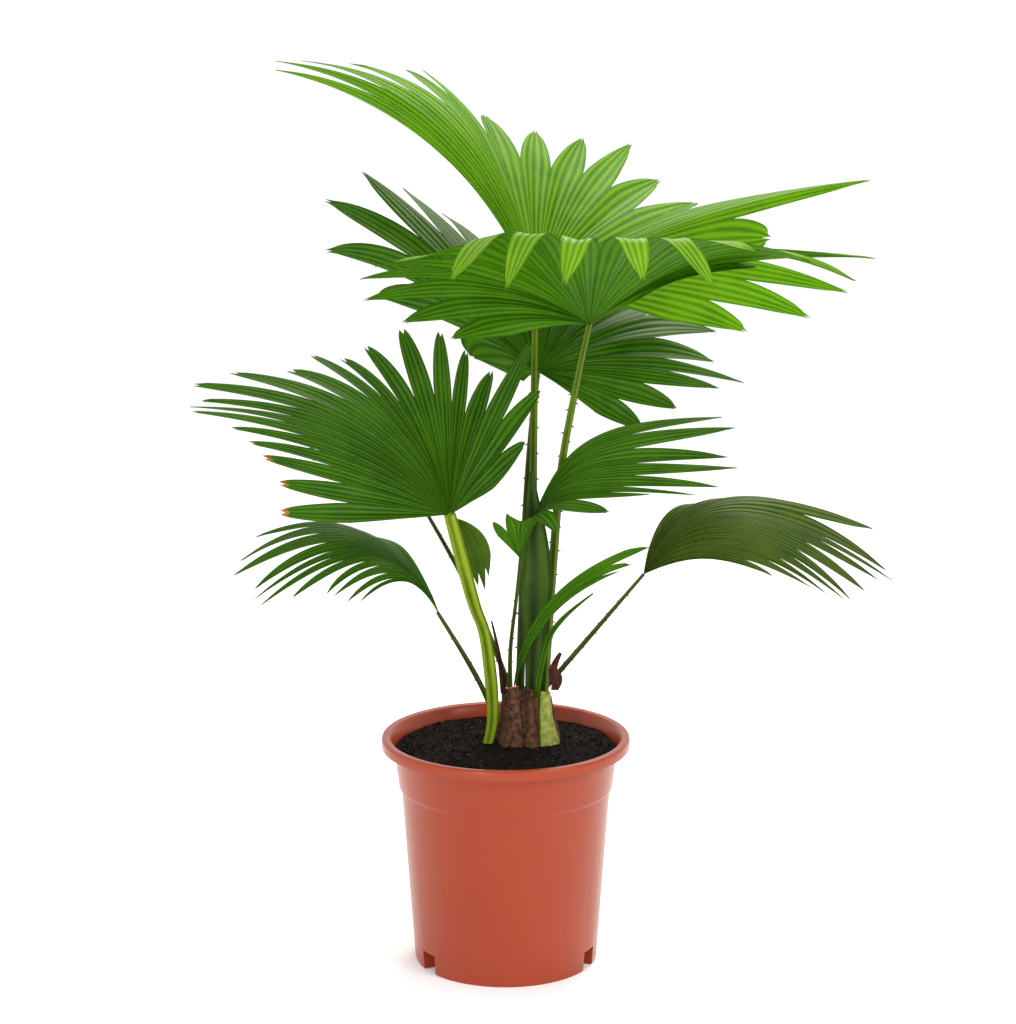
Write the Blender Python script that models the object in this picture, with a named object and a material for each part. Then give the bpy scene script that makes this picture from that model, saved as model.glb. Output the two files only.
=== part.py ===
"""A potted footstool palm: a young fan palm in a round plastic nursery pot.

The fronds are fans on long stalks that rise from a short stem wrapped in old leaf bases.
Sizes and places are in millimetres. The origin is the middle of the pot's underside,
+X is to the right and -Y is the front.
"""

import math

import bmesh
import bpy
import numpy as np
from mathutils import Vector

MM = 0.001
GAP = 0.3

# Pot
POT_HEIGHT = 196.0
RIM_RADIUS = 105.0
FOOT_RADIUS = 77.7
WALL = 1.6
RIM_BAND = 9.5
SHOULDER_DROP = 43.0
LOWER_TOP_RADIUS = 88.5
UPPER_FOOT_RADIUS = 90.5
UPPER_TOP_RADIUS = 94.5
POT_SEGMENTS = 48
FLOOR_THICKNESS = 3.0
NOTCH_ANGLES = (-146.0, -26.0, 94.0)
NOTCH_WIDTH_DEG = 13.0
NOTCH_HEIGHT = 17.0
NOTCH_DEPTH = 13.0
RING_INNER = FOOT_RADIUS - NOTCH_DEPTH - 3.0
RING_TOP = NOTCH_HEIGHT + 2.0
DRAIN_HOLES = 6
DRAIN_CIRCLE = 44.0
DRAIN_RADIUS = 5.0

# Soil
SOIL_LEVEL = 186.0
SOIL_CROWN = 3.0

# Stem and the old leaf bases round it
STEM_AXIS = (16.0, 18.0)
STEM_FLARE = 27.0
STEM_RADIUS = 22.0
STEM_TOP_RADIUS = 20.0
STEM_TOP = 228.0
STEM_SIDES = 20

# Stalks and blades
STALK_SIDES = 6
STALK_STATIONS = 8
HUB_HOLE = 3.4
BLADE_THINNESS = 0.0105
FUSED_STATIONS = 4
FREE_STATIONS = 4
TIP_WIDTH = 0.10


def start_clean():
    for old in list(bpy.data.objects):
        bpy.data.objects.remove(old)


def make_material(name, colour, roughness):
    material = bpy.data.materials.new(name)
    material.use_nodes = True
    shader = material.node_tree.nodes["Principled BSDF"]
    shader.inputs["Base Color"].default_value = (*colour, 1.0)
    shader.inputs["Roughness"].default_value = roughness
    shader.inputs["Metallic"].default_value = 0.0
    return material


def add_object(name, points, faces, material, parent):
    """Make an object from points in millimetres."""
    mesh = bpy.data.meshes.new(name)
    mesh.from_pydata([tuple(c * MM for c in p) for p in points], [], faces)
    mesh.validate()
    mesh.materials.append(material)
    piece = bpy.data.objects.new(name, mesh)
    bpy.context.collection.objects.link(piece)
    piece.parent = parent
    return piece


def face_outward(piece):
    shape = bmesh.new()
    shape.from_mesh(piece.data)
    bmesh.ops.recalc_face_normals(shape, faces=shape.faces)
    shape.to_mesh(piece.data)
    shape.free()


def smooth_round(piece, angle=35.0):
    piece.data.shade_smooth()
    piece.data.set_sharp_from_angle(angle=math.radians(angle))


def turned(name, profile, segments, material, parent, centre=(0.0, 0.0)):
    """Turn a closed profile of (radius, height) points round a vertical axis."""
    points = []
    rings = []
    for radius, height in profile:
        if radius < 1e-6:
            rings.append([len(points)])
            points.append((centre[0], centre[1], height))
            continue
        ring = []
        for k in range(segments):
            angle = 2.0 * math.pi * k / segments
            ring.append(len(points))
            points.append((centre[0] + radius * math.cos(angle), centre[1] + radius * math.sin(angle), height))
        rings.append(ring)
    faces = []
    for lower, upper in zip(rings, rings[1:] + rings[:1]):
        if len(lower) == 1 and len(upper) == 1:
            continue
        for k in range(segments):
            n = (k + 1) % segments
            if len(lower) == 1:
                faces.append((lower[0], upper[n], upper[k]))
            elif len(upper) == 1:
                faces.append((lower[k], lower[n], upper[0]))
            else:
                faces.append((lower[k], lower[n], upper[n], upper[k]))
    piece = add_object(name, points, faces, material, parent)
    face_outward(piece)
    return piece


def smooth_path(knots, count):
    """Points along a smooth curve through the knots, evenly spaced by length."""
    knots = np.array(knots, dtype=float)
    if len(knots) == 2:
        knots = np.array([knots[0], knots.mean(axis=0), knots[1]])
    tangents = np.gradient(knots, axis=0)
    tangents[0] = 1.5 * (knots[1] - knots[0]) - 0.5 * tangents[1]
    tangents[-1] = 1.5 * (knots[-1] - knots[-2]) - 0.5 * tangents[-2]
    fine = []
    for k in range(len(knots) - 1):
        for t in np.linspace(0.0, 1.0, 16, endpoint=(k == len(knots) - 2)):
            fine.append((2 * t**3 - 3 * t**2 + 1) * knots[k] + (t**3 - 2 * t**2 + t) * tangents[k]
                        + (3 * t**2 - 2 * t**3) * knots[k + 1] + (t**3 - t**2) * tangents[k + 1])
    return spaced(np.array(fine), np.linspace(0.0, 1.0, count))


def spaced(curve, shares):
    """Points of a polyline at given shares of its length."""
    steps = np.linalg.norm(np.diff(curve, axis=0), axis=1)
    along = np.concatenate(([0.0], np.cumsum(steps)))
    along /= along[-1]
    return np.stack([np.interp(shares, along, curve[:, axis]) for axis in range(3)], axis=1)


def stalk(name, knots, widths, material, parent, flatness=0.8, side=(1.0, 0.0, 0.0), count=STALK_STATIONS):
    """Sweep an oval along a path from a level foot. widths are its radii across the side direction."""
    path = smooth_path(knots, count)
    radii = np.interp(np.linspace(0.0, 1.0, count), np.linspace(0.0, 1.0, len(widths)), widths)
    ahead = np.gradient(path, axis=0)
    across = Vector(side)
    points = []
    for place, forward, radius in zip(path, ahead, radii):
        forward = Vector(forward).normalized()
        across = (across - forward * across.dot(forward)).normalized()
        up = forward.cross(across)
        for k in range(STALK_SIDES):
            angle = 2.0 * math.pi * k / STALK_SIDES
            offset = across * (radius * math.cos(angle)) + up * (radius * flatness * math.sin(angle))
            points.append(tuple(Vector(place) + offset))
    for k in range(STALK_SIDES):
        points[k] = (points[k][0], points[k][1], float(knots[0][2]))
    faces = [tuple(range(STALK_SIDES)), tuple(range(len(points) - STALK_SIDES, len(points)))]
    for ring in range(count - 1):
        for k in range(STALK_SIDES):
            a = ring * STALK_SIDES + k
            b = ring * STALK_SIDES + (k + 1) % STALK_SIDES
            faces.append((a, b, b + STALK_SIDES, a + STALK_SIDES))
    piece = add_object(name, points, faces, material, parent)
    face_outward(piece)
    smooth_round(piece)
    return piece


def rib_curve(hub, bend, tip, fold, shares):
    """One leaflet's rib: it leaves the hub, turns near the bend and ends at the tip.

    fold is how sharply it turns: 1 is an even arch and 5 is nearly a crease.
    """
    t = np.linspace(0.0, 1.0, 60)[:, None]
    start = (1.0 - t) ** 2
    middle = 2.0 * fold * t * (1.0 - t)
    end = t**2
    curve = (start * hub + middle * bend + end * tip) / (start + middle + end)
    return spaced(curve, shares)


def spread_guides(guides, count):
    """Tip, bend and fold for each leaflet, read from a smooth curve through the guides."""
    numbers = np.array([g[0] for g in guides], dtype=float)
    values = np.array([[*g[1], *g[2], g[3]] for g in guides], dtype=float)
    slopes = np.gradient(values, numbers, axis=0)
    result = []
    for leaflet in range(count):
        k = int(np.clip(np.searchsorted(numbers, leaflet, side="right") - 1, 0, len(numbers) - 2))
        span = numbers[k + 1] - numbers[k]
        t = (leaflet - numbers[k]) / span
        result.append((2 * t**3 - 3 * t**2 + 1) * values[k] + (t**3 - 2 * t**2 + t) * span * slopes[k]
                      + (3 * t**2 - 2 * t**3) * values[k + 1] + (t**3 - t**2) * span * slopes[k + 1])
    return np.array(result)


def frond(name, hub, guides, material, parent, split=0.6, seed=1, ragged=0.05, blunt=0.0):
    """A fan blade, fused round its hub and cut into leaflets beyond the split."""
    count = int(guides[-1][0]) + 1
    hub = np.array(hub, dtype=float)
    spread = spread_guides(guides, count)
    chance = np.random.default_rng(seed)
    reach = np.linalg.norm(spread[:, 0:3] - hub, axis=1)
    first = HUB_HOLE / reach.mean()
    fused = np.linspace(first, split, FUSED_STATIONS + 1)
    free = split + (1.0 - split) * np.linspace(0.0, 1.0, FREE_STATIONS + 1)[1:] ** 0.9
    shares = np.concatenate((fused, free))
    ribs = []
    for row in spread:
        tip = hub + (row[0:3] - hub) * (1.0 + ragged * chance.uniform(-1.0, 1.0))
        ribs.append(rib_curve(hub, row[3:6], tip, max(row[6], 0.3), shares))
    ribs = np.array(ribs)
    seams = np.empty((count + 1, len(shares), 3))
    seams[1:-1] = 0.5 * (ribs[:-1] + ribs[1:])
    seams[0] = 2.0 * ribs[0] - seams[1] if count > 1 else ribs[0]
    seams[-1] = 2.0 * ribs[-1] - seams[-2] if count > 1 else ribs[-1]
    points = []
    edges = {}

    def edge_point(leaflet, right, station):
        """Index of a leaflet's edge point, shared with its neighbour where they are fused."""
        seam = leaflet + right
        shared = station <= FUSED_STATIONS and 0 < seam < count
        key = (seam, station) if shared else (seam, station, leaflet)
        if key not in edges:
            past = (shares[station] - split) / (1.0 - split)
            width = 1.0 if past <= 0.0 else TIP_WIDTH + blunt + (1.0 - TIP_WIDTH - blunt) * (1.0 - past**1.5)
            rib = ribs[leaflet, station]
            edges[key] = len(points)
            points.append(rib + (seams[seam, station] - rib) * min(width, 0.94 if past > 0.0 else 1.0))
        return edges[key]

    faces = []
    for leaflet in range(count):
        for station in range(len(shares) - 1):
            faces.append((edge_point(leaflet, 0, station), edge_point(leaflet, 1, station),
                          edge_point(leaflet, 1, station + 1), edge_point(leaflet, 0, station + 1)))
    piece = add_object(name, points, faces, material, parent)
    thickness = piece.modifiers.new("Thickness", "SOLIDIFY")
    thickness.thickness = max(reach.max() * BLADE_THINNESS, 1.4) * MM
    thickness.offset = 0.0
    piece.data.shade_smooth()
    return piece


def join_cut(target, tool, operation, solver="MANIFOLD"):
    """Apply a Boolean to the target and remove the tool. EXACT leaves open edges on this pot."""
    modifier = target.modifiers.new(operation, "BOOLEAN")
    modifier.operation = operation
    modifier.solver = solver
    modifier.object = tool
    bpy.context.view_layer.update()
    result = bpy.data.meshes.new_from_object(target.evaluated_get(bpy.context.evaluated_depsgraph_get()))
    target.modifiers.remove(modifier)
    target.data = result
    bpy.data.objects.remove(tool)


def wedge(name, inner, outer, low, high, middle_deg, width_deg, material, parent):
    """A block between two radii and two heights, over a sector of the pot's foot."""
    points = []
    for radius in (inner, outer):
        for side in (-0.5, 0.5):
            angle = math.radians(middle_deg + side * width_deg)
            for height in (low, high):
                points.append((radius * math.cos(angle), radius * math.sin(angle), height))
    faces = [(0, 1, 3, 2), (4, 6, 7, 5), (0, 4, 5, 1), (2, 3, 7, 6), (0, 2, 6, 4), (1, 5, 7, 3)]
    piece = add_object(name, points, faces, material, parent)
    face_outward(piece)
    return piece


def wall_radius(height):
    """Outer radius of the pot's body below its rim band."""
    lower_top = POT_HEIGHT - SHOULDER_DROP
    share = height / lower_top
    return FOOT_RADIUS + (LOWER_TOP_RADIUS - FOOT_RADIUS) * share


def make_pot(material, parent):
    shoulder = POT_HEIGHT - SHOULDER_DROP
    band_foot = POT_HEIGHT - RIM_BAND
    outer = [
        (0.0, 0.0),
        (FOOT_RADIUS - 1.5, 0.0),
        (FOOT_RADIUS, 1.5),
        (LOWER_TOP_RADIUS, shoulder - 2.0),
        (UPPER_FOOT_RADIUS, shoulder),
        (UPPER_TOP_RADIUS, band_foot - 1.0),
        (UPPER_TOP_RADIUS + 1.5, band_foot),
        (RIM_RADIUS - 1.0, band_foot),
        (RIM_RADIUS, band_foot + 1.0),
        (RIM_RADIUS, POT_HEIGHT - 3.0),
        (RIM_RADIUS - 2.5, POT_HEIGHT - 0.4),
        (RIM_RADIUS - 5.0, POT_HEIGHT),
        (RIM_RADIUS - 7.5, POT_HEIGHT - 1.0),
    ]
    inner = [
        (UPPER_TOP_RADIUS - WALL, band_foot - 2.0),
        (UPPER_FOOT_RADIUS - WALL, shoulder),
        (LOWER_TOP_RADIUS - WALL, shoulder - 2.0),
        (wall_radius(RING_TOP) - WALL, RING_TOP),
        (RING_INNER, RING_TOP),
        (RING_INNER, FLOOR_THICKNESS),
        (0.0, FLOOR_THICKNESS),
    ]
    pot = turned("pot", outer + inner, POT_SEGMENTS, material, parent)
    for angle in NOTCH_ANGLES:
        notch = wedge("notch", FOOT_RADIUS - NOTCH_DEPTH, FOOT_RADIUS + 10.0, -5.0, NOTCH_HEIGHT,
                      angle, NOTCH_WIDTH_DEG, material, parent)
        join_cut(pot, notch, "DIFFERENCE")
    for k in range(DRAIN_HOLES):
        angle = math.radians(360.0 * k / DRAIN_HOLES)
        place = (DRAIN_CIRCLE * math.cos(angle), DRAIN_CIRCLE * math.sin(angle))
        profile = [(0.0, -2.0), (DRAIN_RADIUS, -2.0), (DRAIN_RADIUS, FLOOR_THICKNESS + 2.0),
                   (0.0, FLOOR_THICKNESS + 2.0)]
        join_cut(pot, turned("drain", profile, 12, material, parent, place), "DIFFERENCE")
    smooth_round(pot)
    return pot


def make_soil(material, parent):
    """The soil fills the pot from its floor and foot ring to just under the rim."""
    shoulder = POT_HEIGHT - SHOULDER_DROP
    low = FLOOR_THICKNESS + GAP
    ledge = RING_TOP + GAP
    profile = [
        (0.0, low),
        (RING_INNER - 2 * GAP, low),
        (RING_INNER - 2 * GAP, ledge),
        (wall_radius(ledge) - WALL - 2 * GAP, ledge),
        (LOWER_TOP_RADIUS - WALL - 2 * GAP, shoulder - 2.0),
        (UPPER_FOOT_RADIUS - WALL - 2 * GAP, shoulder),
        (UPPER_TOP_RADIUS - WALL - 3 * GAP, SOIL_LEVEL - 1.0),
    ]
    for share in (0.85, 0.6, 0.4, 0.2):
        radius = UPPER_TOP_RADIUS * share
        profile.append((radius, SOIL_LEVEL + SOIL_CROWN * (1.0 - share**2)))
    profile.append((0.0, SOIL_LEVEL + SOIL_CROWN))
    soil = turned("soil", profile, POT_SEGMENTS, material, parent)
    smooth_round(soil)
    return soil


def stem_radius(height):
    share = (height - SOIL_LEVEL) / (STEM_TOP - SOIL_LEVEL)
    return STEM_TOP_RADIUS + (STEM_FLARE - STEM_TOP_RADIUS) * (1.0 - share) ** 2


def make_stem(material, parent):
    """A short stem that flares at the soil and ends flat where the stalks rise."""
    low = SOIL_LEVEL + SOIL_CROWN + GAP
    heights = [low + (STEM_TOP - low) * k / 6.0 for k in range(7)]
    profile = [(0.0, low)] + [(stem_radius(h), h) for h in heights] + [(0.0, STEM_TOP)]
    stem = turned("stem", profile, STEM_SIDES, material, parent, STEM_AXIS)
    smooth_round(stem)
    return stem


def leaf_base(name, middle_deg, width_deg, top, thickness, material, parent, slant=0.0):
    """An old leaf base: a curved husk against the stem, cut off across its top."""
    low = SOIL_LEVEL + SOIL_CROWN + 2 * GAP
    columns = 5
    rows = 4
    points = []
    for layer in range(2):
        for row in range(rows):
            for column in range(columns):
                across = column / (columns - 1) - 0.5
                high = top + slant * across
                height = low + (high - low) * row / (rows - 1)
                angle = math.radians(middle_deg + across * width_deg * (1.0 - 0.45 * row / (rows - 1)))
                bulge = thickness * (0.35 + 0.65 * math.cos(math.pi * across)) * (1.0 - 0.25 * row / (rows - 1))
                stand = 2.5 * GAP + max(0.0, height - STEM_TOP) * 0.12
                radius = stem_radius(min(height, STEM_TOP)) + stand + layer * bulge
                points.append((STEM_AXIS[0] + radius * math.cos(angle),
                               STEM_AXIS[1] + radius * math.sin(angle), height))
    faces = []
    sheet = rows * columns
    for row in range(rows - 1):
        for column in range(columns - 1):
            a = row * columns + column
            faces.append((a, a + 1, a + 1 + columns, a + columns))
            faces.append((sheet + a, sheet + a + columns, sheet + a + 1 + columns, sheet + a + 1))
    rim = ([c for c in range(columns)] + [r * columns + columns - 1 for r in range(1, rows)]
           + [(rows - 1) * columns + c for c in range(columns - 2, -1, -1)]
           + [r * columns for r in range(rows - 2, 0, -1)])
    for a, b in zip(rim, rim[1:] + rim[:1]):
        faces.append((a, b, b + sheet, a + sheet))
    piece = add_object(name, points, faces, material, parent)
    face_outward(piece)
    smooth_round(piece)
    return piece


start_clean()
root = bpy.data.objects.new("palm", None)
bpy.context.collection.objects.link(root)

POT_PLASTIC = make_material("Terracotta coloured plastic", (0.45, 0.09, 0.04), 0.4)
SOIL = make_material("Soil", (0.02, 0.01, 0.008), 0.95)
HUSK = make_material("Leaf base husk", (0.10, 0.045, 0.02), 0.85)
STALK = make_material("Stalk", (0.12, 0.20, 0.02), 0.5)
BLADE = make_material("Blade", (0.06, 0.19, 0.008), 0.45)
BRIGHT_BLADE = make_material("Bright blade", (0.16, 0.36, 0.01), 0.45)
DARK_BLADE = make_material("Dark blade", (0.04, 0.10, 0.01), 0.45)
DEAD = make_material("Dead leaf", (0.05, 0.015, 0.01), 0.9)

make_pot(POT_PLASTIC, root)
make_soil(SOIL, root)
make_stem(HUSK, root)

# Each old leaf base: name, bearing round the stem, width in degrees, top, thickness, slant
LEAF_BASES = (
    ("leaf_base_left", -117.0, 48.0, 238.0, 7.0, 3.0),
    ("leaf_base_front", -77.0, 24.0, 236.0, 5.0, -2.0),
    ("leaf_base_right", -35.0, 52.0, 232.0, 7.0, -3.0),
    ("leaf_base_far_right", 22.0, 58.0, 222.0, 6.0, 3.0),
    ("leaf_base_back", 88.0, 66.0, 223.0, 7.0, -4.0),
    ("leaf_base_far_left", 148.0, 34.0, 216.0, 3.0, 2.0),
)
for base_name, bearing, width, top, thickness, slant in LEAF_BASES:
    leaf_base(base_name, bearing, width, top, thickness, HUSK, root, slant)

STALK_FOOT = STEM_TOP + GAP

# Top front frond: its underside faces the front and its front leaflets fold down
TOP_FRONT_HUB = (68.0, -20.0, 548.0)
stalk("top_front_stalk",
      ((32, 18, STALK_FOOT), (40, 15, 347), (46, 6, 423), (57, -9, 492), (67.6, -19.6, 547)),
      (4.5, 4.0, 3.6, 3.0, 2.6), STALK, root)
frond("top_front_frond", TOP_FRONT_HUB, (
    (0, (-48, -60, 541), (15, -35, 560), 1.0),
    (1, (-87, -58, 554), (0, -40, 580), 1.0),
    (3, (-114, -66, 590), (-20, -50, 610), 1.0),
    (5, (-88, -100, 608), (-15, -75, 625), 1.2),
    (6, (-41, -150, 598), (-8, -138, 645), 4.0),
    (8, (43, -222, 603), (55, -204, 647), 4.0),
    (9, (102, -205, 606), (92, -195, 646), 4.0),
    (10, (158, -165, 596), (125, -170, 645), 4.0),
    (11, (191, -135, 618), (150, -140, 640), 2.0),
    (13, (274, -85, 592), (165, -105, 640), 1.3),
    (14, (286, -75, 604), (160, -80, 632), 1.3),
    (15, (188, -78, 598), (130, -60, 600), 1.0),
), BLADE, root, split=0.66, seed=3)

# Top back frond: it rises to the back and its left leaflets reach the plant's top
TOP_BACK_HUB = (25.0, 60.0, 566.0)
stalk("top_back_stalk",
      ((22, 27, STALK_FOOT), (23, 40, 400), (24, 50, 490), (25, 59.7, 565)),
      (4.2, 3.8, 3.2, 2.8), STALK, root)
frond("top_back_frond", TOP_BACK_HUB, (
    (0, (-181, 30, 744), (-44, 50, 722), 1.0),
    (1, (-182, 45, 751), (-40, 62, 732), 1.0),
    (2, (-169, 62, 756), (-30, 75, 740), 1.0),
    (3, (-134, 92, 753), (-20, 90, 735), 1.0),
    (4, (-90, 132, 753), (-10, 105, 715), 1.0),
    (5, (-73, 152, 748), (-8, 115, 700), 1.0),
    (6, (-18, 212, 706), (2, 135, 670), 1.0),
    (7, (28, 250, 697), (22, 155, 655), 1.0),
    (9, (109, 252, 668), (60, 155, 640), 1.0),
    (11, (170, 185, 627), (95, 125, 615), 1.0),
    (13, (298, 95, 652), (165, 85, 640), 1.0),
    (14, (215, 84, 606), (130, 78, 610), 1.0),
    (15, (281, 70, 562), (150, 70, 610), 1.0),
    (17, (202, 50, 532), (110, 55, 570), 1.0),
), BRIGHT_BLADE, root, split=0.7, seed=5)

# Middle frond: it spreads behind and under the two top ones
MIDDLE_HUB = (27.0, 82.0, 494.0)
stalk("middle_stalk",
      ((12, 31, STALK_FOOT), (18, 64, 390), (26.4, 79.8, 491)),
      (4.0, 3.4, 2.2), STALK, root)
frond("middle_frond", MIDDLE_HUB, (
    (0, (-30, 92, 505), (0, 88, 512), 1.0),
    (2, (-159, 112, 596), (-70, 100, 600), 1.0),
    (4, (-119, 150, 653), (-50, 125, 600), 1.0),
    (7, (-20, 270, 590), (5, 175, 590), 1.0),
    (10, (120, 240, 560), (75, 160, 560), 1.0),
    (12, (190, 150, 520), (110, 120, 540), 1.0),
    (13, (184, 105, 499), (105, 100, 520), 1.0),
    (14, (199, 85, 484), (110, 85, 508), 1.0),
    (15, (183, 72, 481), (100, 78, 500), 1.0),
    (16, (148, 60, 465), (85, 72, 485), 1.0),
    (17, (115, 50, 450), (75, 68, 474), 1.0),
), BLADE, root, split=0.65, seed=8)

# Left frond: the big one that turns its upper side to the front
LEFT_HUB = (-45.0, -70.0, 401.0)
stalk("left_stalk",
      ((-15, -2, SOIL_LEVEL + SOIL_CROWN + GAP), (-11, -4, 222), (-17, -20, 286), (-27, -37, 322),
       (-44.8, -69.4, 400)),
      (4.5, 5.5, 5.0, 5.8, 5.0), STALK, root)
frond("left_frond", LEFT_HUB, (
    (0, (-171, -130, 415), (-110, -112, 409), 1.0),
    (1, (-172, -118, 435), (-115, -105, 424), 1.0),
    (3, (-205, -95, 467), (-120, -90, 448), 1.0),
    (6, (-251, -60, 486), (-120, -60, 480), 1.0),
    (8, (-246, -30, 494), (-115, -40, 492), 1.0),
    (10, (-180, 8, 508), (-95, -20, 492), 1.0),
    (13, (-118, 45, 521), (-75, 0, 482), 1.0),
    (15, (-55, 60, 533), (-50, 5, 478), 1.0),
    (17, (-11, 40, 504), (-30, -10, 466), 1.0),
    (18, (19, 20, 524), (-14, -22, 462), 1.0),
    (19, (29, -10, 490), (-5, -35, 450), 1.0),
    (20, (17, -50, 455), (-5, -58, 430), 1.0),
), BLADE, root, split=0.62, seed=13, blunt=0.15)
frond("left_lobe", (-42.0, -50.0, 394.0), (
    (0, (-23, -22, 330), (-31, -34, 372), 1.0),
    (1, (-18, -21, 328), (-22, -30, 372), 1.0),
    (2, (-13, -21, 336), (-12, -28, 376), 1.0),
), DARK_BLADE, root, split=0.8, seed=1)

# Low left frond: it arches over to the left
LOW_LEFT_HUB = (-54.0, -10.0, 300.0)
stalk("low_left_stalk",
      ((-13, 16, SOIL_LEVEL + SOIL_CROWN + GAP), (-17, 8, 228), (-53.7, -9.8, 299.6)),
      (2.2, 2.4, 1.6), STALK, root)
frond("low_left_frond", LOW_LEFT_HUB, (
    (0, (-117, -62, 326), (-80, -40, 364), 1.0),
    (1, (-128, -66, 327), (-82, -42, 370), 1.0),
    (3, (-150, -60, 335), (-90, -38, 388), 1.0),
    (5, (-194, -55, 322), (-95, -34, 406), 1.0),
    (7, (-212, -45, 334), (-105, -25, 412), 1.0),
    (9, (-219, -15, 352), (-110, -10, 418), 1.0),
    (10, (-214, 8, 368), (-110, 5, 412), 1.0),
    (11, (-150, 30, 350), (-100, 18, 395), 1.0),
), BLADE, root, split=0.6, seed=21)

# Low right frond: it arches over to the right
LOW_RIGHT_HUB = (115.0, 0.0, 335.0)
stalk("low_right_stalk",
      ((33, 28, STALK_FOOT), (50, 20, 251), (114.7, 0.2, 334.6)),
      (2.6, 2.2, 1.5), STALK, root)
frond("low_right_frond", LOW_RIGHT_HUB, (
    (0, (223, -48, 344), (162, -28, 372), 1.0),
    (2, (265, -40, 327), (170, -30, 402), 1.0),
    (4, (284, -28, 320), (176, -22, 424), 1.0),
    (6, (302, -5, 332), (168, -10, 434), 1.0),
    (8, (320, 12, 336), (160, 5, 440), 1.0),
    (9, (302, 32, 366), (156, 20, 438), 1.0),
    (11, (220, 50, 366), (140, 35, 424), 1.0),
), DARK_BLADE, root, split=0.68, seed=34)

# Right frond: small, folded at its foot and open to the right
RIGHT_HUB = (12.0, -14.0, 352.0)
stalk("right_stalk",
      ((4, 12, STALK_FOOT), (4, 6, 270), (9, -4, 317), (11.8, -13.6, 351.5)),
      (2.2, 1.8, 1.6, 1.4), STALK, root)
frond("right_frond", RIGHT_HUB, (
    (0, (-10, -40, 388), (0, -26, 372), 1.0),
    (1, (1, -38, 394), (6, -26, 376), 1.0),
    (2, (42, -46, 381), (20, -34, 404), 2.0),
    (3, (86, -42, 398), (28, -32, 406), 3.0),
    (4, (118, -30, 412), (28, -28, 408), 3.0),
    (5, (152, -22, 406), (34, -26, 416), 3.0),
    (7, (184, -6, 424), (40, -20, 430), 3.0),
    (8, (192, 8, 437), (44, -16, 440), 2.5),
    (9, (192, 22, 456), (46, -12, 452), 2.0),
    (10, (184, 32, 465), (46, -8, 458), 2.0),
), BLADE, root, split=0.62, seed=55)

# Narrow young frond and its thin lower strip
frond("narrow_frond", (6.0, 2.0, STALK_FOOT + 3.0), (
    (0, (98, -38, 350), (22, -18, 318), 1.0),
    (1, (106, -40, 356), (18, -20, 326), 1.0),
    (2, (115, -42, 364), (14, -22, 334), 1.0),
), BLADE, root, split=0.85, seed=2)
stalk("narrow_strip",
      ((26, 4, STALK_FOOT), (34, -6, 275), (46, -18, 300), (72, -30, 326)),
      (2.4, 2.6, 2.4, 0.8), STALK, root)

# Folded spear leaf in the middle
stalk("spear_leaf",
      ((22, 12, STALK_FOOT), (24, 6, 275), (25, 0, 347), (23, -4, 385), (21, -6, 424)),
      (6.0, 8.5, 15.0, 9.5, 1.6), DARK_BLADE, root, flatness=0.28)

# Dead leaf, dead spike and hooked stub among the stalks
stalk("dead_leaf",
      ((41, 4, 234), (43, 2, 243), (40, 0, 253), (46, -2, 268)),
      (3.0, 5.5, 3.0, 1.5), DEAD, root, flatness=0.5)
stalk("dead_spike",
      ((-2, 14, STALK_FOOT), (-6, 14, 262), (-12, 12, 292)),
      (3.0, 2.0, 0.8), DEAD, root, flatness=0.5)

# Rear frond: small, behind the left one
REAR_HUB = (-78.0, 118.0, 378.0)
stalk("rear_stalk",
      ((4, 24, STALK_FOOT), (-30, 74, 300), (-77.8, 117.4, 377.5)),
      (2.6, 2.2, 1.6), STALK, root)
frond("rear_frond", REAR_HUB, (
    (0, (-160, 96, 400), (-116, 104, 408), 1.0),
    (3, (-172, 170, 420), (-118, 146, 428), 1.0),
    (6, (-112, 224, 422), (-90, 170, 428), 1.0),
    (8, (-50, 190, 404), (-58, 156, 414), 1.0),
), BLADE, root, split=0.6, seed=89)
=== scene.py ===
# %% [markdown]
# A potted footstool palm, dressed for a studio picture.
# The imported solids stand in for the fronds, stalks, stem, soil and pot. Each is made again here
# with the detail that a real plant has, from the sizes and guides that the solids were made by.
# Those are written out again below, in millimetres, and every piece rides on the same body.

# %% Load the frame
import math

import bpy
import numpy as np
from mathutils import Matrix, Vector, noise


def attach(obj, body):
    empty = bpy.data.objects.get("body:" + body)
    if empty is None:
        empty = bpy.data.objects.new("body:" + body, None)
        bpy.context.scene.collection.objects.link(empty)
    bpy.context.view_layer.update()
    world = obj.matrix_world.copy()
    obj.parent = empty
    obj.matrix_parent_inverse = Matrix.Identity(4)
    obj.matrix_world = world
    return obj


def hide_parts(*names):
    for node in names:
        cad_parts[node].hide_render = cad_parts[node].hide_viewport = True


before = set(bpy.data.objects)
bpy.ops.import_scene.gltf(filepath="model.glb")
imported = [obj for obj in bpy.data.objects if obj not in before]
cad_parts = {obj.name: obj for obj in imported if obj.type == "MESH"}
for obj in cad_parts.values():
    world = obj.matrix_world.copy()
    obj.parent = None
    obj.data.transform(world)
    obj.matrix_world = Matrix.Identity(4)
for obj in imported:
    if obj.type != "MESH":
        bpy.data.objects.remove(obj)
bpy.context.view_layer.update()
MM = 0.001
print("frame has", len(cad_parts), "nodes")

# %% [markdown]
# The photograph was taken from a little above the pot with a long lens.
# The ellipses of the pot's rim and foot fix the camera's height, tilt and distance.

# %% Camera
IMAGE_SIDE = 1024
FOCAL_PIXELS = 2600.0
SENSOR = 36.0
CAMERA_PLACE = (0.0019, -2.1163, 0.8286)
CAMERA_TILT = 11.75

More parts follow.
